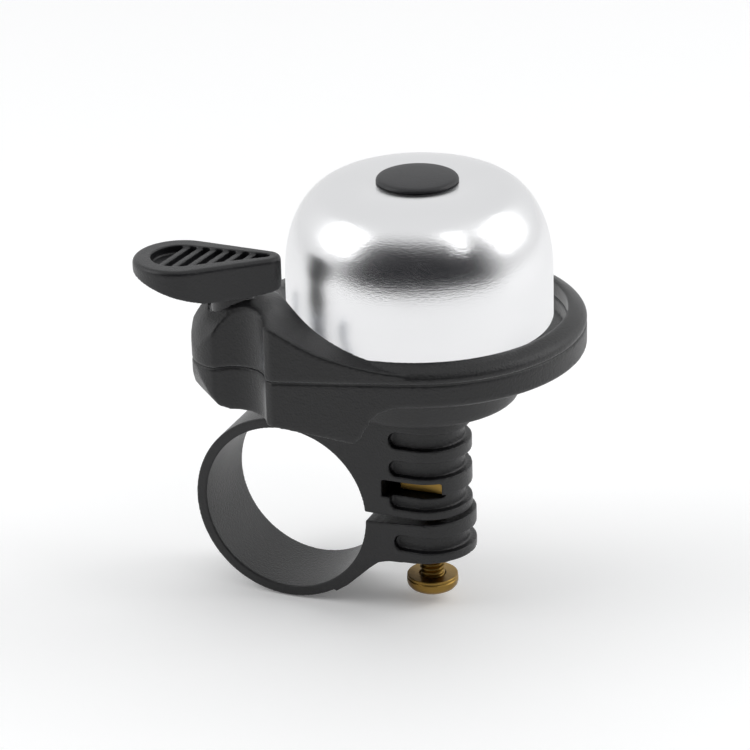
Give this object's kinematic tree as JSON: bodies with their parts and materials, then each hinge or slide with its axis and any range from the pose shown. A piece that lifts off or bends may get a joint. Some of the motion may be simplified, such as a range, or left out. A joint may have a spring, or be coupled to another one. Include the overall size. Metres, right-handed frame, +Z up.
{
  "type": "bicycle bell",
  "caption": "Thumb-lever bicycle bell: spun dome on a round tray, sprung lever with an inner striker, and a split band clamp with a screw and captive nut.",
  "frame": {"origin": "centre of the handlebar clamp's bore", "axes": "+X along the handlebar, +Y from the bar towards the dome's axis, +Z up along the dome's axis"},
  "size_m": [0.0547, 0.0596, 0.0689],
  "materials": {
    "dome_aluminium": "spun and satin brushed, clear",
    "black_plastic": "moulded, fine grain",
    "lever_plastic": "moulded, satin",
    "cap_plastic": "moulded, fine grain",
    "steel": "zinc plated",
    "yellow_zinc": "yellow passivated",
    "fibre": "plain"
  },
  "bodies": {
    "root": {"dome": "dome_aluminium", "dome_cap": "cap_plastic", "dome_seat_washer": "fibre", "dome_washer": "steel", "dome_screw": "steel", "upper_housing": "black_plastic", "lower_housing": "black_plastic", "housing_screws": "steel", "bracket_screws": "steel", "clamp_bracket": "black_plastic", "clamp_nut": "yellow_zinc", "pivot_pin": "steel"},
    "lever": {"thumb_lever": "lever_plastic", "hammer_arm": "steel", "hammer_head": "yellow_zinc", "hammer_rivet": "steel", "lever_washer": "fibre", "return_spring": "steel"},
    "jaw": {"clamp_jaw": "black_plastic"},
    "screw_washer": {"clamp_washer": "yellow_zinc"},
    "screw": {"clamp_screw": "yellow_zinc"}
  },
  "joints": [
    {"name": "lever_pivot", "type": "hinge", "parent": "root", "child": "lever", "pos_m": [0.02079, -0.00069, 0.03], "axis": [0, 0, 1], "range_deg": [0, 51.4], "stiffness_Nm_per_rad": 0.02, "springref_deg": -11.46},
    {"name": "clamp_close", "type": "hinge", "parent": "root", "child": "jaw", "pos_m": [0, -0.0132, 0], "axis": [1, 0, 0], "range_deg": [-1.5, 0.4], "stiffness_Nm_per_rad": 2},
    {"name": "screw_travel", "type": "slide", "parent": "root", "child": "screw_washer", "axis": [0, 0, 1], "range_m": [-0.0021, 0.0028]},
    {"name": "screw_turn", "type": "hinge", "parent": "screw_washer", "child": "screw", "pos_m": [0, 0.0213, -0.0111], "axis": [0, 0, 1], "range_deg": [-1100, 1460]}
  ],
  "couplings": [
    {"joint": "screw_turn", "follows": "screw_travel", "rad_per_m": 8976}
  ]
}
